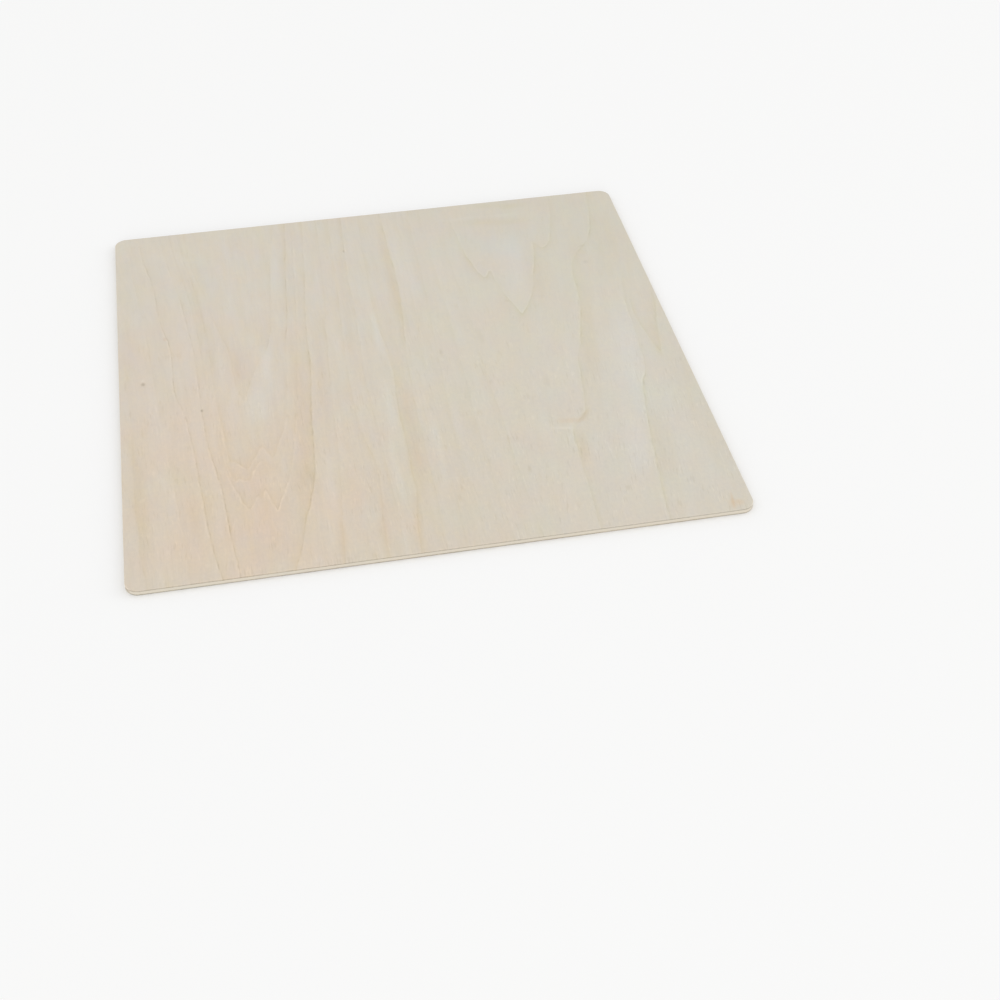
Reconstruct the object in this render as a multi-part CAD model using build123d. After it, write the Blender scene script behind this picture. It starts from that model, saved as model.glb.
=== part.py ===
from build123d import *

import os

# Plywood sheet: a thin square craft panel glued up from three basswood veneers.
#
# Frame: millimetres, +Z up. The sheet lies flat, face side up. The origin is the
# centre of the underside. +Y runs along the grain of the face veneer, +X across it.

# ---- driving dimensions, mm ---------------------------------------------------
WIDTH = 300.0  # X, across the face grain
LENGTH = 300.0  # Y, along the face grain
CORNER_R = 6.5  # rounded corners, seen in plan
ARRIS_R = 0.3  # light sanding of the top and bottom arrises

BACK_T = 0.7  # lower veneer, grain along Y
CORE_T = 1.6  # middle veneer, laid across, grain along X
FACE_T = 0.7  # upper veneer, grain along Y

SHEET_T = BACK_T + CORE_T + FACE_T  # 3 mm stock

# ---- heights of the glue lines ------------------------------------------------
Z_BACK = 0.0
Z_CORE = Z_BACK + BACK_T
Z_FACE = Z_CORE + CORE_T
Z_TOP = Z_FACE + FACE_T


def veneer(z, thickness):
    """One ply: the sheet's rounded outline, drawn up from height z."""
    outline = Plane.XY.offset(z) * RectangleRounded(WIDTH, LENGTH, CORNER_R)
    return extrude(outline, amount=thickness)


def ease(ply, z):
    """Rounds the arris all the way round the outline at height z."""
    arris = ply.edges().filter_by_position(Axis.Z, z - 0.01, z + 0.01)
    return fillet(arris, ARRIS_R)


# The sheet is cut and sanded after it is glued, so the three plies share one
# outline and only the two outer arrises are eased.
face_veneer = ease(veneer(Z_FACE, FACE_T), Z_TOP)
core_veneer = veneer(Z_CORE, CORE_T)
back_veneer = ease(veneer(Z_BACK, BACK_T), Z_BACK)

plies = {
    "face_veneer": face_veneer,
    "core_veneer": core_veneer,
    "back_veneer": back_veneer,
}

os.makedirs("parts", exist_ok=True)
for name, ply in plies.items():
    solid = ply.solids()[0]
    solid.label = name
    export_step(solid, os.path.join("parts", name + ".step"))
    box = solid.bounding_box()
    print(name, "volume mm3", round(solid.volume, 1), "z", round(box.min.Z, 3), round(box.max.Z, 3))

print("sheet thickness", SHEET_T, "volume cm3", round(sum(p.volume for p in plies.values()) / 1000, 2))
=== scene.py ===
import math

import bpy
import numpy as np
from mathutils import Matrix, Vector


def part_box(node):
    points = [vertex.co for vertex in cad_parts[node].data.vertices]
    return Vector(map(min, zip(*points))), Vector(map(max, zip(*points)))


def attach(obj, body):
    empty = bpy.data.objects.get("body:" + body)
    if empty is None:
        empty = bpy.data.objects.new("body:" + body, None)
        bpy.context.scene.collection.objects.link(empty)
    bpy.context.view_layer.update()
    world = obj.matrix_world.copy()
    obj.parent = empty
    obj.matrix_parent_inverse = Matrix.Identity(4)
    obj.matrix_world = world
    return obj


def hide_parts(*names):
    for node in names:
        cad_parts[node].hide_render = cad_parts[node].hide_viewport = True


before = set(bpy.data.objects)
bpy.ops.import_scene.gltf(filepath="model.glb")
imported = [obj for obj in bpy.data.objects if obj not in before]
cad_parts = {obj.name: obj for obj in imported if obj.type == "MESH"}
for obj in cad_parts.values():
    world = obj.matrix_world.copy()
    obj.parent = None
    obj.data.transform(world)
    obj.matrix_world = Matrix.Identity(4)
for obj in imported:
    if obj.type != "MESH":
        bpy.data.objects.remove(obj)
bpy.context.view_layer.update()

# A thin square plywood sheet, face side up: three basswood veneers with rounded corners and
# lightly sanded arrises. The outer plies have their grain along Y, the core along X.
# Lengths below are in millimetres unless they are named otherwise; the scene is in metres.

MM = 0.001

face_low, face_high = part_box("face_veneer")
core_low, core_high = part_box("core_veneer")
back_low, back_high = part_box("back_veneer")

HALF = float(face_high.x) / MM  # half the side of the sheet
CORNER_R = 6.5  # rounded corners, in plan
ARRIS_R = 0.3  # sanded arrises
Z0 = float(back_low.z) / MM  # underside
Z1 = float(core_low.z) / MM  # lower glue line
Z2 = float(core_high.z) / MM  # upper glue line
Z3 = float(face_high.z) / MM  # face


# ---- the growth figure of the face veneer ----------------------------------------------------
# Each line is one growth-ring boundary: its layer, the side on which the darker wood lies as the
# line is followed (1 left, -1 right), how dark the line is, how brown the wood on that side and
# how pale the hem on the other, then (x, y, how plainly it shows). Lines in one layer lie well
# apart. The rings open into two cathedrals, left and right, with straight grain between.
RINGS = [
    # left cathedral, from its outer rings inwards
    (0, 1, .2, 1.1, .1, [(-149, 70, .15), (-147, 30, .2), (-145.5, 0, .25), (-144.5, -25, .3), (-144, -50, .4), (-144, -75, .5), (-143.8, -95, .5), (-142.5, -110, .5), (-142.5, -125, .5), (-140.5, -140, .5), (-140, -152, .5)]),
    (1, 1, .5, .8, 1.6, [(-145, 152, .2), (-142, 125, .2), (-139, 95, .2), (-135.5, 60, .2), (-132.5, 20, .2), (-130.5, -10, .2), (-128.5, -40, .25), (-126.5, -60, .35), (-125, -75, .35), (-124, -90, .35), (-123, -103, .3), (-121.5, -120, .25), (-120, -152, .2)]),
    (2, 1, 1.25, .9, 1.1, [(-137, 152, .25), (-134, 122, .5), (-132, 112, .5), (-130.3, 103, .45), (-129, 92, .4), (-128.3, 82, .4), (-127.5, 70, .6), (-127, 62, .5), (-125, 50, .5), (-123.2, 43, .7), (-122, 35, .5), (-121.5, 20, .55), (-121.7, 8, .6), (-121.6, -3, .7), (-120.3, -12, .6), (-117.8, -21, .5), (-115.9, -32, .5), (-115, -45, .7), (-113.4, -58, .8), (-112.8, -73, .8), (-112, -85, .9), (-111, -96, .9), (-110.6, -106, .9), (-110, -115, .9), (-109, -123, .9), (-108.2, -132, .9), (-106.8, -142, .8), (-105, -152, .7)]),
    (0, 1, 1.25, .9, 1.1, [(-124.5, 152, .25), (-121.5, 125, .35), (-118, 100, .4), (-114.8, 80, .4), (-112, 55, .4), (-110, 32, .4), (-109, 14, .7), (-108.7, -2, .6), (-108.5, -15, .5), (-108.2, -25, .8), (-107.5, -36, .8), (-107, -48, .6), (-105.4, -62, .7), (-103.3, -76, .9), (-101.8, -88, .9), (-101, -99, .9), (-100.5, -110, 1), (-99.9, -120, .9), (-99, -131, .7), (-98, -142, .8), (-97.3, -152, .6)]),
    (1, 1, .6, .9, .4, [(-119, 152, .3), (-115.5, 118, .4), (-112, 98, .4), (-109.3, 75, .4), (-107.3, 52, .5), (-106, 28, .4), (-105.2, 5, .35), (-104.3, -18, .3), (-103, -38, .25), (-101.2, -57, .2), (-98.7, -74, .2)]),
    (1, 1, .65, .7, 1.5, [(-98.7, -74, .2), (-95.8, -86, .7), (-94, -92, .8), (-92, -99, .8), (-90, -104, .8), (-88, -101, .7), (-86.3, -96, .7), (-85, -94, .7), (-83.6, -98, .7), (-82.5, -93, .7), (-81, -90, .7), (-79.5, -95, .8), (-78, -101, .8), (-76.5, -107, .8), (-75, -101, .8), (-73, -96, .7), (-71, -90, .6), (-69, -84, .5), (-66, -70, .35), (-62.3, -46, .3), (-58.7, -18, .3), (-55.8, 10, .3), (-53.3, 40, .35), (-51.3, 66, .4), (-49.7, 92, .4), (-47.8, 120, .4), (-46, 152, .4)]),
    (2, 1, .15, 1, 1.6, [(-116.8, 152, .05), (-113.2, 118, .1), (-109.8, 98, .1), (-107.2, 75, .1), (-105.2, 52, .1), (-103.8, 28, .1), (-103.2, 5, .1), (-102.4, -17, .1), (-100.8, -39, .1), (-99.4, -56, .2), (-97.6, -71, .4), (-95, -82, .8), (-92.9, -80, .8), (-90.4, -82.5, .8), (-87.9, -82.5, .8), (-87, -78, .8), (-85.4, -74, .7), (-83.3, -70.5, .6), (-81, -68, .3), (-79, -71, .2), (-77, -76, .2), (-75, -77.5, .2), (-73, -73, .2), (-70.5, -65, .2), (-67.5, -55, .15), (-65.2, -46, .1), (-61.4, -18, .1), (-58.7, 10, .1), (-56, 40, .1), (-53.8, 66, .1), (-52, 92, .1), (-49.9, 120, .1), (-48, 152, .1)]),
    (3, 1, .5, .9, .4, [(-114, 152, .35), (-110.8, 118, .45), (-107.6, 98, .4), (-105, 76, .4), (-103, 52, .4), (-101.6, 28, .35), (-101.2, 5, .3), (-100.8, -10, .3)]),
    (3, 1, .15, 1.3, 1.2, [(-100.8, -10, .3), (-99.8, -24, .6), (-98.4, -40, .6), (-97.6, -55, .6), (-96.6, -67, .7), (-94, -66.5, .6), (-91, -71, .7), (-88.5, -74, .7), (-86, -69, .7), (-83, -63, .7), (-81, -57.5, .6), (-79, -59.5, .6), (-77, -64, .6), (-75.4, -68, .7), (-73.6, -63.5, .7), (-71.5, -55, .6), (-68.3, -47, .4), (-65.5, -30, .3), (-63, -8, .3), (-61, 18, .3)]),
    (3, 1, .75, 1, .5, [(-61, 18, .4), (-59.8, 32, .6), (-58.3, 43, .7), (-57, 54, .6), (-56.1, 68, .6), (-55.2, 82, .7), (-53.9, 97, .9), (-52.8, 112, .9), (-51.3, 128, .7), (-50, 152, .5)]),
    (4, 1, .5, .9, .4, [(-110.5, 152, .35), (-107.3, 112, .5), (-104.2, 96, .5), (-101, 80, .45), (-98, 58, .45), (-94.5, 42, .5), (-91.8, 31, .5), (-90.4, 18, .5), (-90, 4, .5), (-88.9, -8, .55), (-86.2, -19, .6), (-83.4, -9, .6), (-80.2, 3, .5), (-76.4, 13, .4), (-72.5, 20, .4), (-70, 28, .6), (-67.3, 41, .6), (-66, 55, .45), (-65, 70, .45), (-63.6, 90, .45), (-61.6, 112, .45), (-59, 132, .4), (-57, 152, .35)]),
    # straight grain between the two
    (0, -1, .85, 1.3, .7, [(-39.5, 152, .35), (-41.5, 124, .4), (-42.6, 106, .6), (-43.7, 90, .6), (-45.3, 74, .55), (-46.8, 58, .5), (-47.9, 40, .6), (-48.6, 22, .9), (-49, 9, 1), (-49.8, -3, .9), (-51, -14, .9), (-52, -26, 1), (-53, -37, 1), (-53.9, -50, 1), (-54.6, -63, 1), (-55.5, -76, 1), (-56.8, -88, 1), (-59, -98, 1), (-61.5, -108, 1), (-63.9, -116, .9), (-65.6, -125, .9), (-68, -137, .8), (-70.6, -145, .8), (-72.5, -152, .7)]),
    (2, -1, .6, 1, .5, [(-31, 152, .3), (-32.5, 112, .35), (-34, 80, .4), (-35.5, 55, .45), (-37.6, 38, .6), (-38.3, 22, .6), (-39.3, 6, .45), (-40.8, -20, .35), (-42, -45, .35), (-43, -70, .35), (-44.5, -95, .4), (-46.5, -115, .6), (-47.8, -133, .6), (-49.2, -152, .6)]),
    (1, -1, .6, 1, .5, [(-24, 152, .3), (-25, 122, .35), (-26, 92, .4), (-27.5, 60, .5), (-28.5, 40, .6), (-30, 10, .45), (-30.5, -10, .5), (-30.4, -38, .5), (-29.8, -52, .5), (-28.2, -66, .6), (-26, -77, .6), (-25.3, -90, .7), (-26, -105, .5), (-27, -120, .5), (-28, -136, .6), (-28.6, -152, .5)]),
    (0, -1, .7, 1, .5, [(-16, 152, .6), (-17.4, 126, .7), (-18.3, 112, .8), (-19, 95, .7), (-19.9, 80, .6), (-19.5, 60, .5), (-19.4, 46, .6), (-20.6, 30, .5), (-21.3, 8, .4), (-22, -8, .45), (-21.5, -32, .35), (-21, -58, .35), (-20.8, -82, .35), (-20.3, -104, .35), (-20.2, -122, .4), (-20.6, -152, .4)]),
    (3, 1, .7, 1.2, .6, [(-5.5, 152, .3), (-7, 118, .3), (-8.4, 80, .3), (-8.8, 50, .35), (-8, 28, .5), (-6.8, 10, .7), (-6.2, -8, .6), (-6.8, -20, .8), (-7.6, -29, .9), (-8.3, -45, .9), (-8.1, -62, .9), (-8.3, -80, .9), (-9, -94, .9), (-8.7, -106, .7), (-10.2, -118, .8), (-12, -131, .7), (-13.2, -152, .6)]),
    (2, -1, .7, 1.2, .5, [(7.4, 152, .5), (7.5, 126, .7), (7.6, 102, .9), (8.1, 86, 1), (7.6, 70, 1), (7, 55, .9), (5.9, 40, .8), (4.2, 25, .6), (3, 8, .45), (2, -12, .4), (.9, -28, .35), (.3, -60, .3), (.2, -100, .3), (-.8, -152, .25)]),
    (1, -1, .5, 1, .4, [(17, 152, .2), (16, 102, .25), (14, 52, .25), (11.5, 4, .25), (10.5, -48, .25), (9.5, -100, .25), (8.5, -152, .25)]),
    (3, -1, .5, 1, .4, [(24.5, 152, .2), (23.3, 120, .25), (23, 88, .25), (22, 58, .25), (20.4, 28, .3), (19.4, 0, .35), (18, -30, .4), (17, -60, .3), (17.3, -92, .25), (18.2, -122, .25), (19.5, -152, .25)]),
    # right cathedral
    (0, -1, .5, 1, .4, [(31, 152, .2), (31, 100, .2), (31.4, 58, .2), (31, 20, .25), (30.2, -20, .25), (29.2, -60, .25), (29.6, -102, .25), (31, -152, .25)]),
    (2, -1, .5, 1, .4, [(38.5, 152, .2), (39.3, 122, .2), (40.6, 92, .2), (41.6, 62, .2), (42, 30, .25), (41.6, 0, .25), (42, -32, .3), (43, -60, .45), (42.6, -82, .4), (43.4, -112, .3), (45, -152, .3)]),
    (1, -1, .45, 1.2, 1, [(46, 152, .1), (47.6, 136, .15), (49.2, 120, .25), (50, 104.4, .5), (50.9, 94.7, .8), (52.6, 87.6, .9), (54.3, 76.6, .8), (57.4, 69.5, .9), (59.3, 69.7, .9), (62.2, 75.7, .8), (63.2, 65.7, .35), (64.7, 55.1, .1), (66.8, 45.1, .7), (68.3, 41.7, .9), (69.6, 35.9, .9), (71.4, 28.7, 1), (75, 34.2, .9), (79.1, 42.1, .8), (81.7, 49.2, .6), (84, 56.4, .8), (85.2, 63.9, .8), (88.6, 76.5, .9), (91.1, 88.1, .7), (93.1, 101.4, .6), (94.7, 96.3, .8), (97, 93.1, .9), (100.6, 95.8, .8), (103.2, 100.8, .6), (106.2, 112.8, .6), (109.3, 126.6, .5), (111, 138, .3), (113, 152, .2)]),
    (0, 1, .45, 1.3, .8, [(137, 152, .5), (134.6, 136, .6), (132.4, 122, .7), (130.2, 111, .7), (127.6, 103, .7), (124.8, 96.5, .7), (121, 91.5, .7), (117, 86, .5), (113.2, 80, .5), (110.2, 73, .6), (108.7, 64, .6), (108, 54, .6), (107.2, 45, .6), (106.2, 36, .6), (105, 28, .8), (103, 19.5, .8), (101, 12, .8), (99.5, 4.5, .8), (97.8, -3, .8), (95.8, -8.5, .6), (93.6, -13.5, .6), (92.4, -21, .8), (91.3, -30, .7), (90.2, -40, .7), (88.9, -48, .9), (87.8, -55, .8), (86.7, -61.5, .8), (83.6, -66, .5), (80.4, -69.3, .4), (77.5, -72.3, .4), (76.4, -77.5, .6), (76, -88, .7), (75.2, -100, .6), (74.9, -112, .5), (74.4, -126, .5), (73.6, -140, .5), (73, -152, .45)]),
    (2, 1, .55, 1.2, 1, [(151, 96, 0), (143.5, 78, 0), (137.5, 61, .05), (133.4, 45, .2), (131.3, 32, .55), (130.5, 17, .5), (129.5, -2, .5), (128.4, -12, .5), (127.6, -23, .6), (126.6, -31, .8), (124.8, -37, .9), (122, -42.5, .9), (120.6, -49, .9), (119.4, -57, .9), (117.8, -65, .9), (116.6, -73, .9), (115.2, -82, .9), (113.9, -92, .9), (112.8, -100, .8), (111.6, -108, .9), (110.7, -118, .9), (109, -129, .8), (107.9, -139, .8), (106.8, -152, .6)]),
    (1, 1, .25, 1.1, .5, [(151, 88, 0), (146, 75, 0), (141, 60, 0), (137, 45, 0), (134.4, 34, .1), (133.6, 24, .5), (133.4, 15, .9), (134, 7, 1), (135.6, -4.2, .9), (136.2, -9.1, .8), (137.4, -15, .9), (138.3, -19, .9), (139.4, -14, .9), (140.5, -7, .9), (141.4, -1.6, .9), (142.8, 6.8, .9), (144.8, 15.2, .8), (147.1, 25.6, .8), (148.2, 34.5, .6), (150, 47, .2), (152, 60, 0)]),
]
LAYERS = 5
# Soft streaks along the grain: (x, y, half width, half length, lean, browner, pinker, lighter).
# Lean is the sideways drift in x per unit of y.
STREAKS = [
    # the broad drift of colour: pinkish at the front left, paler and cooler at the right
    (-100, -100, 64, 84, 0, 1.6, 2.2, .6), (-30, -120, 60, 55, 0, .5, .4, 0), (-115, 10, 50, 60, 0, .3, 1.2, .2),
    (70, 150, 110, 50, 0, 0, 0, -.7), (25, 95, 120, 42, 0, -.5, 0, 0), (-110, -35, 12, 42, 0, -.2, 0, .8), (147, -55, 11, 60, 0, .7, -.3, -1.0),
    (125, 110, 75, 75, 0, 0, -.8, -.9), (128, -60, 55, 90, 0, -.8, -.6, .3), (40, 0, 70, 90, 0, -.1, -.3, .3),
    (-40, 20, 45, 60, 0, .1, .3, 0),
    # darker and paler bands of the left cathedral
    (-141.5, -92, 3.6, 50, -.03, 1.1, 0, -1.4),(-57.5, -28, 4.5, 60, .05, 1.0, .9, -1.1), (-62, -84, 3, 15, .1, .8, .3, -1.3),
    (-73, 5, 4.5, 20, .05, -1.2, -.8, 1.7), (-80, -24, 8, 15, 0, -1.5, -1.3, 1.0), (-86, 12, 4, 14, .02, .6, .2, -1.2), (-50, -104, 4.5, 34, .08, -.6, 0, 1.2),
    (-104, 60, 2, 40, -.08, .4, .2, -.8), (-108, 110, 2, 18, -.25, -.4, 0, 1.0), (-60.5, 88, 2.6, 44, .06, -.5, -.2, 1.0),
    (-117, 66, 4, 46, -.06, -.3, 0, .7), (-84, -120, 12, 26, 0, .5, 1.2, -.5), (-80, -76, 5, 6, 0, .9, .5, -.6),
    (-131, -60, 6, 60, -.03, -.2, 0, .4), (-116, -115, 3, 34, -.07, .8, .3, -.8), (-104.5, -118, 2, 30, -.06, -.3, 0, .8),
    (-87, 85, 9, 46, 0, -.1, 0, .5), (-96, -5, 3.4, 36, -.03, -.3, -.2, .5),
    # the straight grain between
    (5, 78, 2.5, 46, 0, 1.5, .6, -1.5), (-4, -62, 3.6, 44, .02, 1.5, .9, -1.6), (-10.5, 30, 2, 22, 0, -.9, -.6, 1.6),
    (-12.5, -38, 2.4, 18, .06, -.8, -.6, 1.4), (-15.7, -84, 1.5, 26, .02, -.7, -.4, 1.4), (-20, -142, 1.4, 12, 0, -.5, -.3, 1.2),
    (7, -79, 2.2, 26, .04, -.6, -.4, 1.0), (14, 95, 5, 36, 0, -.5, -.4, 1.1), (-44, 2, 3.6, 42, .04, .5, .6, -1.0),
    (-33, 22, 3, 32, .02, -.4, -.2, .9), (-12, -128, 2, 20, .1, 1.4, .9, -1.0), (-27, -126, 2.2, 22, .04, 1.0, 1.0, -.9),
    (-48.5, -136, 1.8, 15, .08, 1.6, .8, -1.0), (-38, -95, 3.5, 30, .04, .2, .8, -.3), (-24, 60, 2.4, 50, .02, .4, .3, -.7),
    (-2, 30, 3, 30, .04, .2, .2, -.4), (26, -40, 4, 60, .03, .3, 0, -.5), (22, 60, 3, 60, 0, .2, 0, -.4),
    (34, 40, 5, 80, 0, -.1, -.1, .4), (12, -120, 4, 26, .05, .5, .2, -.4),
    # the right cathedral
    (102, -8, 4.2, 42, .16, 1.4, 0, -.9), (121, -18, 8, 44, .14, -1.0, -.3, 1.2), (105, -92, 5, 24, .14, -.9, 0, 1.0),
    (118.5, -98, 4.5, 24, .13, .9, 0, -1.5), (73, 146, 9, 2.6, 0, 1.2, -.5, -.7), (88, 143, 9, 2.6, 0, 1.3, -.6, -.9),
    (82, 133.5, 8, 1.6, 0, -.2, -.2, 1.3), (55, 134, 12, 1.5, 0, -.2, -.2, 1.1), (66, 128.5, 11, 3.2, 0, 1.0, -.4, -.9),
    (82, 125.5, 11, 3.2, 0, 1.1, -.4, -.9), (72, 100, 13, 15, 0, -1.0, -.3, -.2),(55, -20, 9, 60, .05, .4, .1, .1), (78.5, -89, 2.6, 13, .12, 1.6, .5, -1.0),
    (139, -4, 3, 15, .06, .7, .5, -.7), (146, -120, 4, 26, .1, .3, 0, -.4), (90, 62, 4, 30, .22, .8, -.2, -.6),
    (113, 72, 5, 22, .2, .5, -.2, -.5), (77, 78, 6, 34, .1, -.7, .1, .9), (64, 20, 7, 24, .05, .2, 0, -.5),
    (96, 118, 4, 18, .2, -.3, 0, .6), (136, 96, 8, 30, .25, .6, -.3, -.7), (66, -112, 8, 36, .03, .1, .1, .4),
    (92, -112, 8, 34, .1, -.1, .1, -.2),
]
# Small marks: (x, y, half width, half length, turn in degrees, browner, lighter, depth).
MARKS = [
    (-137.5, 5.4, 1.0, 1.3, 0, 1.0, -24, .12), (-137.5, 8.6, .9, 1.3, 0, -.5, 7, 0),
    (-108.3, -23, .6, 1.0, 0, 1.0, -26, .12), (-107.8, -20.6, .5, 1.0, 0, 0, 5, 0),
    (-18.3, 112.4, .55, 1.3, 0, 1.0, -17, .06), (-17.4, 112.6, .5, 1.1, 0, 0, 5, 0),
    (21.3, 3.0, .8, 2.4, 0, .8, -8, .02), (20.7, -3.6, .8, 1.4, 0, 0, 6, 0),
    (45, 14, 2.0, 6.5, 0, .6, -4, 0), (40, -5, .9, .9, 0, 0, 4.5, 0),
    (48.4, -101.5, .8, 2.2, 0, .8, -6, .01), (72, -33, 1.6, 4.2, 0, .4, -3.6, 0),
    (118.7, 74, 1.5, 1.5, 0, .3, -6, 0), (120.2, 91, 1.8, 1.1, 30, .6, -5.5, 0),
    (-124.6, 44, 1.0, 1.5, 0, 2.2, -5, 0), (65.8, 44, 1.4, 1.1, 0, .8, -4.5, 0),
    (140.2, -142.6, .7, 4.8, -8, 3.4, -5, .01), (140.0, -145.2, 2.4, 3.0, 0, 2.4, -1.6, 0), (143.4, -144.6, 1.8, 2.0, 40, 2.8, -.8, 0),
    (84.4, -65.2, 1.5, 5.0, -38, 2.0, -5.5, 0), (77, -67.6, 1.8, 6.5, -97, 1.9, -2.4, 0),
    (71.6, -72.7, 1.0, 5.4, -100, -.4, 5.5, 0), (-58.8, -83, 1.7, 6.0, 8, .8, -4.5, 0),
    (-146.7, 5, .5, 4, 0, .8, -6, 0), (-139, -36, .5, 3, 0, .8, -6, 0), (-127, -30, .45, 3, 0, .6, -5, 0),
    (-128, -17, .45, 2.6, 0, .6, -5, 0), (-144.6, -19, .5, 3, 0, .8, -6, 0),
    (137.6, -18, 1.2, 5, 0, 1.4, -3, 0),
]


RANGE = 9.0  # how far from a ring line its wood is still told apart


def ring_layers(xy):
    """For each layer, at each point: the distance to the nearest ring line, positive on its darker side, and how much of the line's dark, brown and pale there is."""
    layers = []
    for layer in range(LAYERS):
        gap = np.full(len(xy), 2 * RANGE)
        amounts = np.zeros((len(xy), 3))
        for _, side, *amount, line in (r for r in RINGS if r[0] == layer):
            beside = np.zeros(len(xy))  # off the nearest stretch of this line, at right angles
            taken = np.zeros(len(xy), bool)
            for (xa, ya, sa), (xb, yb, sb) in zip(line[:-1], line[1:]):
                near = np.flatnonzero(
                    (xy[:, 0] > min(xa, xb) - RANGE) & (xy[:, 0] < max(xa, xb) + RANGE)
                    & (xy[:, 1] > min(ya, yb) - RANGE) & (xy[:, 1] < max(ya, yb) + RANGE))
                dx, dy = xb - xa, yb - ya
                long = math.hypot(dx, dy)
                px, py = xy[near, 0] - xa, xy[near, 1] - ya
                t = np.clip((px * dx + py * dy) / long ** 2, 0, 1)
                d = np.hypot(px - t * dx, py - t * dy)
                off = (dx * py - dy * px) / long * side
                have = np.abs(gap[near])
                tie = taken[near] & (np.abs(d - have) < 1e-6) & (np.abs(off) > np.abs(beside[near]))
                pick = (d < have - 1e-6) | tie
                at = near[pick]
                gap[at] = d[pick] * np.where(off[pick] < 0, -1, 1)
                beside[at] = off[pick]
                taken[at] = True
                fade = np.clip((RANGE - 0.5 - d[pick]) / 3.0, 0, 1)
                show = (sa + (sb - sa) * t[pick]) * fade * fade * (3 - 2 * fade)
                amounts[at] = np.outer(show, amount)
        layers.append((gap, amounts))
    return layers


def soft_streaks(xy, streaks):
    """Brownness, pinkness and lightness added by the soft streaks."""
    sums = np.zeros((3, len(xy)))
    for x, y, wide, long, lean, *amounts in streaks:
        v = (xy[:, 1] - y) / long
        u = (xy[:, 0] - x - lean * (xy[:, 1] - y)) / wide
        m = np.exp(-(u * u) - (v * v) ** 1.5)
        sums += np.outer(amounts, m)
    return sums


def back_figure(xy):
    """The underside's plainer figure: nearly straight rings that open into one low cathedral."""
    x, y = xy[:, 0], xy[:, 1]
    sway = x + 4.5 * np.sin(y / 70.0 + 0.6) + 2.0 * np.sin(y / 31.0 + x / 60.0) + 0.035 * y

    def ring_at(x, sway, y):
        hill = np.exp(-((x - 38.0 - 0.05 * y) / 40.0) ** 2)
        return sway / 13.0 + 5.5 * hill * (0.55 + y / 330.0) + 1.2 * np.sin(x / 47.0)

    ring = ring_at(x, sway, y)
    e = 0.25
    gx = (ring_at(x + e, sway + e, y) - ring) / e
    sway_y = sway + e * (4.5 / 70.0 * np.cos(y / 70.0 + 0.6) + 2.0 / 31.0 * np.cos(y / 31.0 + x / 60.0) + 0.035)
    gy = (ring_at(x, sway_y, y + e) - ring) / e
    show = 0.45 + 0.25 * np.sin(x / 23.0 + 1.0) + 0.15 * np.sin(y / 60.0 + x / 35.0)
    warm = 0.7 * np.sin(x / 52.0 + 0.8) + 0.5 * np.sin(y / 95.0 + x / 80.0)
    pink = 0.8 * np.sin(x / 75.0 - y / 160.0 + 0.4)
    light = -0.7 * np.sin(x / 33.0 + 2.0) + 0.5 * np.sin(x / 9.0 + y / 140.0)
    return ring, np.hypot(gx, gy), np.clip(show, 0.1, 0.9), warm, pink, light


# ---- meshes -----------------------------------------------------------------------------------
def cuts(half, rim, n_rim, n_mid):
    edge = np.linspace(half - rim, half, n_rim + 1)
    mid = np.linspace(-(half - rim), half - rim, n_mid + 1)
    return np.concatenate([-edge[::-1], mid[1:-1], edge])


def rounded_grid(half, radius, n_mid, block=8.0, n_rim=10):
    """A square grid of points whose four corner blocks run round the corner arcs."""
    c = cuts(half, block, n_rim, n_mid)
    gx, gy = np.meshgrid(c, c)
    p, q = np.abs(gx) - (half - block), np.abs(gy) - (half - block)
    corner = (p > 1e-9) & (q > 1e-9)
    s = np.where(corner, np.maximum(p, q), 1.0)
    f = np.where(p >= q, q / s * 0.5, 1.0 - p / s * 0.5)
    straight = block - radius
    total = 2 * straight + math.pi * radius / 2
    run = f * total
    turn = np.clip((run - straight) / radius, 0, math.pi / 2)
    bx = straight + radius * np.cos(turn)
    by = straight + radius * np.sin(turn)
    bx = np.where(run < straight, block, np.where(run > total - straight, total - run, bx))
    by = np.where(run < straight, run, np.where(run > total - straight, block, by))
    np_, nq = bx * s / block, by * s / block
    gx = np.where(corner, np.sign(gx) * (half - block + np_), gx)
    gy = np.where(corner, np.sign(gy) * (half - block + nq), gy)
    return gx, gy


def wander(rng, n, knots):
    """A closed smooth run of n values between -1 and 1."""
    k = rng.uniform(-1, 1, knots)
    t = np.arange(n) * knots / n
    i = np.floor(t).astype(int)
    f = t - i
    f = f * f * (3 - 2 * f)
    return k[i % knots] * (1 - f) + k[(i + 1) % knots] * f


def nicks(rng, xy, count, end_grain):
    """Small hollows where fibres have broken away along the sanded arrises."""
    depth = np.zeros(len(xy))
    step = np.linalg.norm(np.roll(xy, -1, 0) - xy, axis=1)
    run = np.concatenate([[0], np.cumsum(step)[:-1]])
    length = step.sum()
    for _ in range(count):
        at, long, deep = rng.uniform(0, length), rng.uniform(0.7, 2.6), rng.uniform(0.02, 0.13)
        gap = np.abs((run - at + length / 2) % length - length / 2)
        depth = np.maximum(depth, deep * np.exp(-(gap / long) ** 2))
    return depth * (0.25 + 0.75 * end_grain)


SHOW = (0.006, 0.906)  # the broad face's place on the map, in both directions
STRIP = 0.036  # width of each edge's strip on the map


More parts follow.
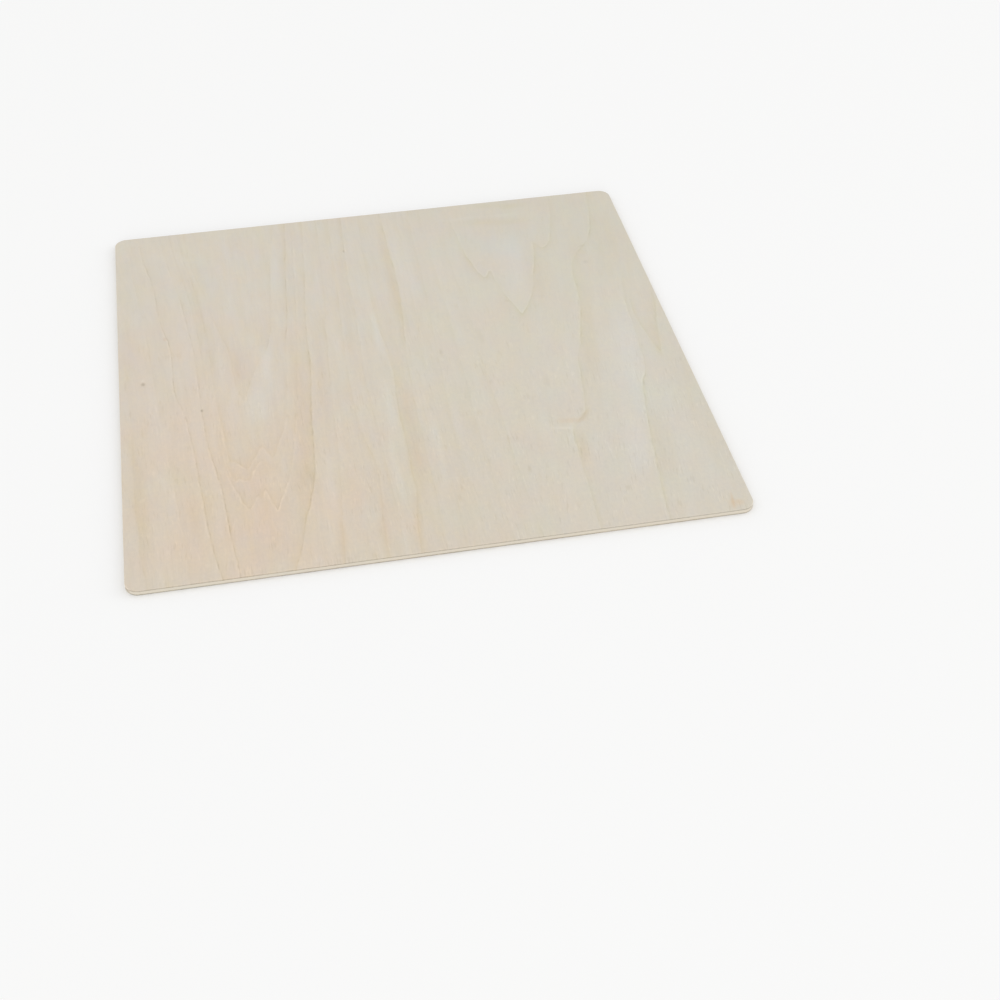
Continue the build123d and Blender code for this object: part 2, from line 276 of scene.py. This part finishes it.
def ply(name, low, high, top, bottom, seed, n_mid):
    """A closed ply from height low to high. top and bottom say whether that side is a sanded broad face, with its own grid and a rounded arris, or a glue line."""
    rng = np.random.default_rng(seed)
    grid_x, grid_y = rounded_grid(HALF - ARRIS_R, CORNER_R - ARRIS_R, n_mid)
    n = len(grid_x)
    index = np.arange(n * n).reshape(n, n)
    ring = np.concatenate([index[0, :-1], index[:-1, -1], index[-1, :0:-1], index[:0:-1, 0]])
    rim = np.c_[grid_x.ravel(), grid_y.ravel()][ring]
    inner = HALF - CORNER_R
    out = rim - np.clip(rim, -inner, inner)
    out /= np.linalg.norm(out, axis=1)[:, None]
    m = len(ring)
    end_grain = np.abs(out[:, 1]) ** 2  # the outer plies' grain runs along Y
    if not (top or bottom):
        end_grain = 1 - end_grain

    # the edge, from the top down: how far out from the rim, and how high
    steps = []
    if top:
        for k in range(1, 6):
            a = math.radians(18 * k)
            steps.append((ARRIS_R * math.sin(a), high - ARRIS_R * (1 - math.cos(a)), "arris"))
    else:
        steps.append((ARRIS_R - 0.05, high, "glue"))
        steps.append((ARRIS_R, high - 0.05, "wall"))
    z_from = steps[-1][1]
    z_to = low + ARRIS_R if bottom else low + 0.05
    for k in range(1, 4):
        steps.append((ARRIS_R, z_from + (z_to - z_from) * k / 3, "wall"))
    if bottom:
        for k in range(1, 6):
            a = math.radians(90 - 18 * k)
            steps.append((ARRIS_R * math.sin(a), low + ARRIS_R * (1 - math.cos(a)), "arris"))
        steps.pop()
    else:
        steps.append((ARRIS_R - 0.05, low, "glue"))

    points = []
    faces = []
    loops = []
    if top:
        points.append(np.c_[grid_x.ravel(), grid_y.ravel(), np.full(n * n, high)])
        faces += [(index[j, i], index[j, i + 1], index[j + 1, i + 1], index[j + 1, i]) for j in range(n - 1) for i in range(n - 1)]
        loops.append(ring)
    bite = nicks(rng, rim, 150, end_grain)
    for out_by, z, kind in steps:
        rough = 0.012 + 0.012 * wander(rng, m, m // 3) + 0.010 * wander(rng, m, m // 16)
        rough = np.maximum(rough, 0) * (0.3 + 0.7 * end_grain)
        if kind == "arris":
            rough = rough * 0.6 + bite * math.sin(math.pi * min(1.0, out_by / ARRIS_R) * 0.62)
        ground = rim + out * (out_by - rough)[:, None]
        start = sum(len(p) for p in points)
        points.append(np.c_[ground, np.full(m, z)])
        loops.append(np.arange(start, start + m))
    if bottom:
        start = sum(len(p) for p in points)
        points.append(np.c_[grid_x.ravel(), grid_y.ravel(), np.full(n * n, low)])
        under = index + start
        faces += [(under[j, i], under[j + 1, i], under[j + 1, i + 1], under[j, i + 1]) for j in range(n - 1) for i in range(n - 1)]
        loops.append(ring + start)
    n_broad = len(faces)
    for upper, lower in zip(loops[:-1], loops[1:]):
        a, b = np.roll(upper, -1), np.roll(lower, -1)
        faces += list(zip(upper, lower, b, a))
    n_edge = len(faces)
    if not top:
        faces.append(tuple(loops[0]))
    if not bottom:
        faces.append(tuple(loops[-1][::-1]))

    co = np.concatenate(points)
    me = bpy.data.meshes.new(name)
    me.from_pydata((co * MM).tolist(), [], [tuple(int(v) for v in f) for f in faces])
    me.update()
    me.polygons.foreach_set("use_smooth", np.ones(len(me.polygons), bool))
    me.set_sharp_from_angle(angle=math.radians(34))

    # the map: the broad face fills most of it, the four edges run along its margin
    uv = me.uv_layers.new(name="OFBake")
    lo, hi = SHOW
    if not (top or bottom):
        hi = 0.5
    flat = lo + (co[:, :2] + HALF) / (2 * HALF) * (hi - lo)
    place = np.zeros((len(me.loops), 2))
    corner = np.zeros(len(me.loops), int)
    me.loops.foreach_get("vertex_index", corner)
    place[:] = flat[corner]
    side = m // 4
    depth = len(loops) - 1
    k = sum(len(f) for f in faces[:n_broad])
    along = np.arange(m) % side
    which = np.arange(m) // side
    strip = STRIP if (top or bottom) else 0.1
    for level in range(depth):
        for i in range(m):
            t0, t1 = along[i] / side, (along[i] + 1) / side
            d0, d1 = level / depth, (level + 1) / depth
            base = hi + 0.010 + (which[i] % 2) * (strip + 0.008)
            for t, d in ((t0, d0), (t0, d1), (t1, d1), (t1, d0)):
                long = lo + t * (hi - lo)
                wide = base + d * strip
                place[k] = (long, wide) if which[i] < 2 else (wide, long)
                k += 1
    for f in faces[n_edge:]:
        # the glued sides, never seen, share a patch in the corner
        first = hi + 0.012
        size = 0.08 if (top or bottom) else 0.2
        shift = 0.0 if f is faces[n_edge] else size + 0.01
        ids = list(f)
        spot = (co[ids, :2] + HALF) / (2 * HALF) * size
        place[k:k + len(ids), 0] = first + spot[:, 0]
        place[k:k + len(ids), 1] = first + shift + spot[:, 1]
        k += len(ids)
    uv.data.foreach_set("uv", place.ravel())

    ob = bpy.data.objects.new(name, me)
    bpy.context.scene.collection.objects.link(ob)
    return ob, co


def give(ob, **values):
    """Stores values on the vertices, for the materials to read."""
    for name, v in values.items():
        v = np.asarray(v, np.float32)
        kind, field = ("FLOAT", "value") if v.ndim == 1 else ("FLOAT_VECTOR", "vector")
        ob.data.attributes.new(name, kind, "POINT").data.foreach_set(field, v.ravel())


# ---- materials --------------------------------------------------------------------------------
class Value:
    """A number in a material that can be written in ordinary arithmetic."""

    def __init__(self, net, socket):
        self.net, self.socket = net, socket

    def __add__(self, o):
        return self.net.math("ADD", self, o)

    def __sub__(self, o):
        return self.net.math("SUBTRACT", self, o)

    def __rsub__(self, o):
        return self.net.math("SUBTRACT", o, self)

    def __mul__(self, o):
        return self.net.math("MULTIPLY", self, o)

    def __truediv__(self, o):
        return self.net.math("DIVIDE", self, o)

    __radd__, __rmul__ = __add__, __mul__


class Net:
    def __init__(self, name):
        self.material = bpy.data.materials.new(name)
        self.material.use_nodes = True
        self.tree = self.material.node_tree
        self.tree.nodes.clear()
        place = self.tree.nodes.new("ShaderNodeTexCoord")
        self.x, self.y, self.z = (v * 1000.0 for v in self.split(place.outputs["Object"]))
        self.nx, self.ny, self.nz = self.split(place.outputs["Normal"])

    def split(self, socket):
        node = self.tree.nodes.new("ShaderNodeSeparateXYZ")
        self.tree.links.new(socket, node.inputs[0])
        return [Value(self, s) for s in node.outputs]

    def put(self, socket, v):
        if isinstance(v, Value):
            self.tree.links.new(v.socket, socket)
        elif v is not None:
            socket.default_value = v

    def math(self, op, a, b=None, c=None):
        node = self.tree.nodes.new("ShaderNodeMath")
        node.operation = op
        for socket, v in zip(node.inputs, (a, b, c)):
            self.put(socket, v)
        return Value(self, node.outputs[0])

    def attribute(self, name):
        node = self.tree.nodes.new("ShaderNodeAttribute")
        node.attribute_name = name
        return Value(self, node.outputs["Fac"])

    def triple(self, name):
        node = self.tree.nodes.new("ShaderNodeAttribute")
        node.attribute_name = name
        return self.split(node.outputs["Vector"])

    def ramp(self, v, low, high, to_low=0.0, to_high=1.0):
        node = self.tree.nodes.new("ShaderNodeMapRange")
        node.interpolation_type = "SMOOTHSTEP"
        for socket, value in zip(node.inputs, (v, low, high, to_low, to_high)):
            self.put(socket, value)
        return Value(self, node.outputs[0])

    def noise(self, x, y, z=0.0, detail=0.0, rough=0.5):
        """Noise about zero, mostly within half a unit."""
        at = self.tree.nodes.new("ShaderNodeCombineXYZ")
        for socket, v in zip(at.inputs, (x, y, z)):
            self.put(socket, v)
        node = self.tree.nodes.new("ShaderNodeTexNoise")
        node.noise_dimensions = "3D"
        node.inputs["Scale"].default_value = 1.0
        node.inputs["Detail"].default_value = detail
        node.inputs["Roughness"].default_value = rough
        self.tree.links.new(at.outputs[0], node.inputs["Vector"])
        return Value(self, node.outputs[0]) - 0.5

    def bell(self, v, width):
        """One where v is zero, falling off over width."""
        return self.math("EXPONENT", self.math("POWER", self.math("ABSOLUTE", v / width), 2.0) * -1.0)

    def decay(self, v, width):
        return self.math("EXPONENT", v * (-1.0 / width))

    def wood(self, base, value, warm, pink, rough, height, specular):
        """Ends the material: a base colour, made lighter by value, browner by warm and redder by pink, with roughness and relief in millimetres."""
        shifts = zip(base, (0.004, -0.006, -0.034), (0.010, -0.013, -0.006))
        channels = [value * (warm * brown + pink * red + 1.0) * level for level, brown, red in shifts]
        colour = self.tree.nodes.new("ShaderNodeCombineColor")
        for socket, v in zip(colour.inputs, channels):
            self.put(socket, v)
        bump = self.tree.nodes.new("ShaderNodeBump")
        bump.inputs["Strength"].default_value = 1.0
        bump.inputs["Distance"].default_value = MM
        self.put(bump.inputs["Height"], height)
        shader = self.tree.nodes.new("ShaderNodeBsdfPrincipled")
        shader.inputs["Specular IOR Level"].default_value = specular
        self.tree.links.new(colour.outputs[0], shader.inputs["Base Color"])
        self.put(shader.inputs["Roughness"], rough)
        self.tree.links.new(bump.outputs[0], shader.inputs["Normal"])
        end = self.tree.nodes.new("ShaderNodeOutputMaterial")
        self.tree.links.new(shader.outputs[0], end.inputs["Surface"])
        return self.material


def edge_parts(n):
    """How far a point lies on the broad face, on an edge across X and on an edge across Y."""
    flat = n.ramp(n.math("ABSOLUTE", n.nz), 0.45, 0.92)
    yy, xx = n.ny * n.ny, n.nx * n.nx
    on_y = n.ramp(yy / (yy + xx + 1e-5), 0.3, 0.7)
    edge = 1.0 - flat
    return flat, edge * (1.0 - on_y), edge * on_y


def end_grain_look(n, along, across, seed):
    """Cut fibre ends: fine dark pores, with short splits across the ply."""
    pores = n.noise(along / 0.22, across / 0.16, seed, detail=1.0)
    clumps = n.noise(along / 1.7, across / 0.9, seed + 3.0, detail=1.0)
    splits = n.ramp(n.noise(along / 0.35, across / 1.6, seed + 7.0), 0.12, 0.32)
    tone = pores * 0.26 + clumps * 0.26 - splits * 0.10
    return tone, pores * 0.05 - splits * 0.05


def drawn_rings(n, wobble):
    """Ring lines that were laid out one by one: the thin dark line, the brown wood that fades away on one side, the
    brown tinge about the line and the pale hem on its other side.
    """
    line = band = tinge = hem = 0.0
    for layer in range(LAYERS):
        dark, brown, pale = n.triple("ring%d" % layer)
        gap = n.attribute("gap%d" % layer) + wobble
        inside, outside = n.math("MAXIMUM", gap, 0.0), n.math("MAXIMUM", gap * -1.0, 0.0)
        line = n.bell(gap, 0.34) * dark + line
        band = n.decay(inside, 2.6) * n.decay(outside, 0.3) * brown + band
        tinge = n.bell(gap, 1.3) * brown + tinge
        hem = n.bell(gap + 0.85, 0.5) * pale + hem
    return line, band, tinge, hem


def counted_rings(n, wobble):
    """The same for rings that follow from a smooth count over the sheet."""
    show = n.attribute("show")
    slope = n.math("MAXIMUM", n.attribute("slope"), 0.02)
    part = n.math("FRACT", n.attribute("ring") + wobble * slope + 64.0)
    above, below = part / slope, (1.0 - part) / slope
    nearest = n.math("MINIMUM", above, below)
    return n.bell(nearest, 0.34) * show * 0.7, n.decay(above, 2.6) * show, n.bell(nearest, 1.3) * show, n.bell(below - 0.85, 0.5) * show * 0.5


def veneer(name, base, seed, glue_z, marks, rings):
    """An outer ply, grain along Y: growth rings, fibre streaks, flecks and pin marks on its broad face, end grain on the edges across Y."""
    n = Net(name)
    x, y, z = n.x, n.y, n.z
    warm, pink, light = n.attribute("warm"), n.attribute("pink"), n.attribute("light")
    flat, on_x, on_y = edge_parts(n)

    # the fibres lean to follow the trunk, and sway a little
    lean = n.ramp(x, 0.0, 115.0) * 0.12 - n.ramp(x, -90.0, -150.0) * 0.06
    u = x - lean * (y + 150.0) + n.noise(x / 45.0, y / 85.0, seed) * 3.0

    fine = n.noise(u / 0.36, y / 4.2, seed + 1.0, detail=1.0)
    mid = n.noise(u / 1.0, y / 14.0, seed + 2.0, detail=1.0)
    broad = n.noise(u / 4.2, y / 56.0, seed + 3.0, detail=1.0)
    cloud = n.noise(x / 15.0, y / 20.0, seed + 4.0, detail=2.0)
    warmth = n.noise(u / 5.6, y / 27.0, seed + 5.0, detail=1.0)
    blush = n.noise(x / 19.0, y / 23.0, seed + 10.0, detail=1.0)
    mottle = n.noise(x / 2.8, y / 3.6, seed + 12.0, detail=2.0)
    grit = n.noise(x / 1.5, y / 2.2, seed + 14.0, detail=1.0)
    front = n.ramp(y, 100.0, -100.0, 0.35, 1.6)  # the grain lies opener towards this end
    straight = n.ramp(x, -20.0, 70.0, 1.0, 0.6)  # the fibres show less on the right

    # the rings jitter with the fibres, come and go, and are fainter in the straight grain
    wobble = n.noise(u / 1.6, y / 8.0, seed + 6.0, detail=2.0, rough=0.6) * 1.5
    broken = n.ramp(n.noise(x / 3.6, y / 6.0, seed + 7.0, detail=2.0), -0.18, 0.18, 0.1, 1.3)
    dashes = n.ramp(n.noise(x / 7.0, y / 18.0, seed + 13.0, detail=1.0), -0.16, 0.14, 0.1, 1.3)
    fade = (dashes - 1.0) * n.ramp(y, -90.0, 30.0, 0.4, 1.0) + 1.0
    calm = n.ramp(n.math("ABSOLUTE", x + 2.0), 24.0, 50.0, 0.55, 1.0)
    line, band, tinge, hem = rings(n, wobble)
    line, hem = line * broken * fade * calm, hem * broken * fade
    band, tinge = band * (fade * 0.4 + 0.6), tinge * (fade * 0.6 + 0.4)

    # pores and rays, as short dark and light flecks
    drifts = n.ramp(n.noise(x / 13.0, y / 20.0, seed + 11.0, detail=1.0), -0.12, 0.16, 0.2, 1.3)
    pore = n.ramp(n.noise(u / 0.9, y / 8.0, seed + 8.0, detail=0.0), 0.10, 0.27) * drifts
    ray = n.ramp(n.noise(u / 0.9, y / 6.5, seed + 9.0, detail=0.0), 0.11, 0.27) * drifts

    value = (
        1.0
        + fine * front * 0.029
        + mid * straight * 0.055
        + broad * straight * 0.058
        + grit * front * 0.048
        + mottle * 0.054
        + cloud * 0.058
        + light * 0.021
        - line * 0.114
        - band * 0.036
        + hem * 0.062
        - pore * front * 0.029
        + ray * front * 0.026
    )
    tint = warm * 1.4 + warmth * straight * 4.6 + grit * 0.6 + mottle * 2.2 + cloud * 2.2 + line * 0.8 + band * 1.5 + tinge * 0.8 + pore * 0.6
    pink = pink + blush * 3.8 - tinge * n.ramp(x, -40.0, 60.0, 0.05, 0.7)
    height = fine * 0.012 + mid * 0.01 - line * 0.012 - pore * 0.012

    for mx, my, wide, long, turn, w, l, deep in marks:
        a = math.radians(turn)
        dx, dy = x - mx, y - my
        p = (dx * math.cos(a) + dy * math.sin(a)) / wide
        q = (dy * math.cos(a) - dx * math.sin(a)) / long
        m = n.math("EXPONENT", n.math("POWER", p * p + q * q, 1.5) * -0.7)
        value = value + m * (l * 0.01)
        tint = tint + m * w
        if w > 1.5:
            pink = pink + m * (w * 0.6)
        if deep:
            height = height - m * deep

    # the edges: long grain beside X, end grain across Y, a stained glue line below
    tone, dents = end_grain_look(n, x, z, seed + 20.0)
    stripe = n.noise(y / 14.0, z / 0.16, seed + 21.0, detail=1.0)
    value = value * (flat + on_x * (1.08 + stripe * 0.08) + on_y * (0.75 + tone - band * 0.06 - line * 0.05))
    tint = tint + on_y * 0.7 + on_x * 0.2 + stripe * on_x * 1.2
    height = height * flat + dents * on_y + stripe * on_x * 0.02
    # the arrises are made lighter: partly their paler sanded fibres, partly a painted highlight of light catching the
    # rounded arris
    tilt = n.math("ABSOLUTE", n.nz)
    arris = n.ramp(tilt, 0.15, 0.5) * n.ramp(tilt, 0.98, 0.8)  # paler sanded fibres, and a painted highlight where the arris catches the light
    glue = n.bell(z - glue_z, 0.075) * (on_x + on_y)
    value = value * (1.0 - glue * 0.20 + arris * (0.10 - on_y * 0.12))
    tint = tint + glue * 1.0
    rough = 0.60 + fine * 0.08 + cloud * 0.05 - band * 0.04 + (on_x + on_y) * 0.12
    return n.wood(base, value, tint, pink, rough, height, 0.32)


def core(name, base, seed):
    """The middle ply, grain along X: long grain on the edges across Y, end grain on those across X."""
    n = Net(name)
    x, y, z = n.x, n.y, n.z
    flat, on_x, on_y = edge_parts(n)
    sway = z + n.noise(x / 30.0, seed, 0.0) * 0.5
    fibre = n.noise(x / 9.0, sway / 0.10, seed + 1.0, detail=1.0)
    stripe = n.noise(x / 34.0, sway / 0.36, seed + 2.0, detail=1.0)
    patch = n.noise(x / 22.0, y / 22.0, seed + 3.0, detail=1.5)
    tone, dents = end_grain_look(n, y, z, seed + 10.0)
    year = n.noise(y / 5.0, z / 0.7, seed + 11.0, detail=1.0)
    value = 1.0 + patch * 0.05 + on_y * (fibre * 0.07 + stripe * 0.10) + on_x * (tone + year * 0.14 - 0.20) + flat * fibre * 0.05
    tint = patch * 1.6 + on_y * stripe * 1.6 + on_x * (0.8 + year * 1.6)
    height = dents * on_x + fibre * on_y * 0.012
    glue = n.bell(z - Z1, 0.075) + n.bell(z - Z2, 0.075)
    value = value * (1.0 - glue * 0.20)
    tint = tint + glue * 1.0
    rough = 0.68 + fibre * 0.08 + tone * 0.2
    return n.wood(base, value, tint, patch * 1.5 + on_x * 0.9, rough, height, 0.30)


# ---- the sheet --------------------------------------------------------------------------------
face_ply, face_co = ply("face_ply", Z2, Z3, True, False, 11, 244)
core_ply, core_co = ply("core_ply", Z1, Z2, False, False, 12, 178)
back_ply, back_co = ply("back_ply", Z0, Z1, False, True, 13, 178)

warm, pink, light = soft_streaks(face_co[:, :2], STREAKS)
give(face_ply, warm=warm, pink=pink, light=light)
for layer, (gap, amounts) in enumerate(ring_layers(face_co[:, :2])):
    give(face_ply, **{"gap%d" % layer: gap, "ring%d" % layer: amounts})
ring, slope, show, warm, pink, light = back_figure(back_co[:, :2])
give(back_ply, ring=ring, slope=slope, show=show, warm=warm, pink=pink, light=light)

BACK_MARKS = [
    (-64, 38, .8, 1.6, 0, 2.0, -9, .05), (92, -71, .6, 1.4, 0, 2.0, -8, .04), (18, 96, 1.5, 4.5, 10, 2.0, -4, .01),
    (-112, -94, 1.0, 3.0, -6, 2.0, -5, .01), (121, 52, .7, 1.3, 0, 1.6, -7, .03),
]
face_ply.data.materials.append(veneer("face_basswood", (0.643, 0.587, 0.494), 3.0, Z2, MARKS, drawn_rings))
core_ply.data.materials.append(core("core_basswood", (0.652, 0.594, 0.498), 41.0))
back_ply.data.materials.append(veneer("back_basswood", (0.628, 0.570, 0.470), 67.0, Z1, BACK_MARKS, counted_rings))

for piece, node in ((face_ply, "face_veneer"), (core_ply, "core_veneer"), (back_ply, "back_veneer")):
    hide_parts(node)
    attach(piece, "root")


# ---- floor, light and camera ------------------------------------------------------------------
floor_mesh = bpy.data.meshes.new("floor")
reach, rings = 7.0, 96
disc = [(reach * math.cos(2 * math.pi * k / rings), reach * math.sin(2 * math.pi * k / rings), 0.0) for k in range(rings)]
floor_mesh.from_pydata(disc, [], [tuple(range(rings))])
floor = bpy.data.objects.new("floor", floor_mesh)
floor.location.z = Z0 * MM - 0.00004
bpy.context.scene.collection.objects.link(floor)
paper = bpy.data.materials.new("floor_paper")
paper.use_nodes = True
paper_shader = paper.node_tree.nodes["Principled BSDF"]
paper_shader.inputs["Base Color"].default_value = (0.92, 0.92, 0.916, 1.0)
paper_shader.inputs["Roughness"].default_value = 0.9
paper_shader.inputs["Specular IOR Level"].default_value = 0.0
floor_mesh.materials.append(paper)

world = bpy.data.worlds.new("studio")
bpy.context.scene.world = world
world.use_nodes = True
sky = world.node_tree.nodes["Background"]
sky.inputs["Color"].default_value = (1.0, 1.0, 1.0, 1.0)
sky.inputs["Strength"].default_value = 0.93


def softbox(name, where, size, watts):
    """A square light that faces the sheet."""
    lamp = bpy.data.lights.new(name, "AREA")
    lamp.shape = "SQUARE"
    lamp.size = size
    lamp.energy = watts
    ob = bpy.data.objects.new(name, lamp)
    ob.location = where
    ob.rotation_mode = "QUATERNION"
    ob.rotation_quaternion = (Vector((0, 0, 0)) - Vector(where)).to_track_quat("-Z", "Y")
    bpy.context.scene.collection.objects.link(ob)


softbox("softbox_right", (6.8, 0.6, 2.5), 4.0, 68.0)
softbox("softbox_left", (-3.6, -2.7, 6.0), 4.8, 12.0)
softbox("softbox_front", (-1.2, -6.95, 1.5), 2.6, 97.0)

camera_data = bpy.data.cameras.new("camera")
camera_data.sensor_width = 36.0
camera_data.lens = 57.232
camera_data.clip_start, camera_data.clip_end = 0.01, 200.0
camera = bpy.data.objects.new("camera", camera_data)
right = Vector((0.981424, -0.191841, -0.001852))
up = Vector((0.129012, 0.652793, 0.74647))
behind = Vector((-0.141995, -0.732842, 0.665417))
turn = Matrix((right, up, behind)).transposed().to_4x4()
camera.matrix_world = Matrix.Translation((-0.07961, -0.68494, 0.5152)) @ turn
bpy.context.scene.collection.objects.link(camera)
bpy.context.scene.camera = camera
bpy.context.scene.view_settings.view_transform = "Standard"

bpy.context.view_layer.update()
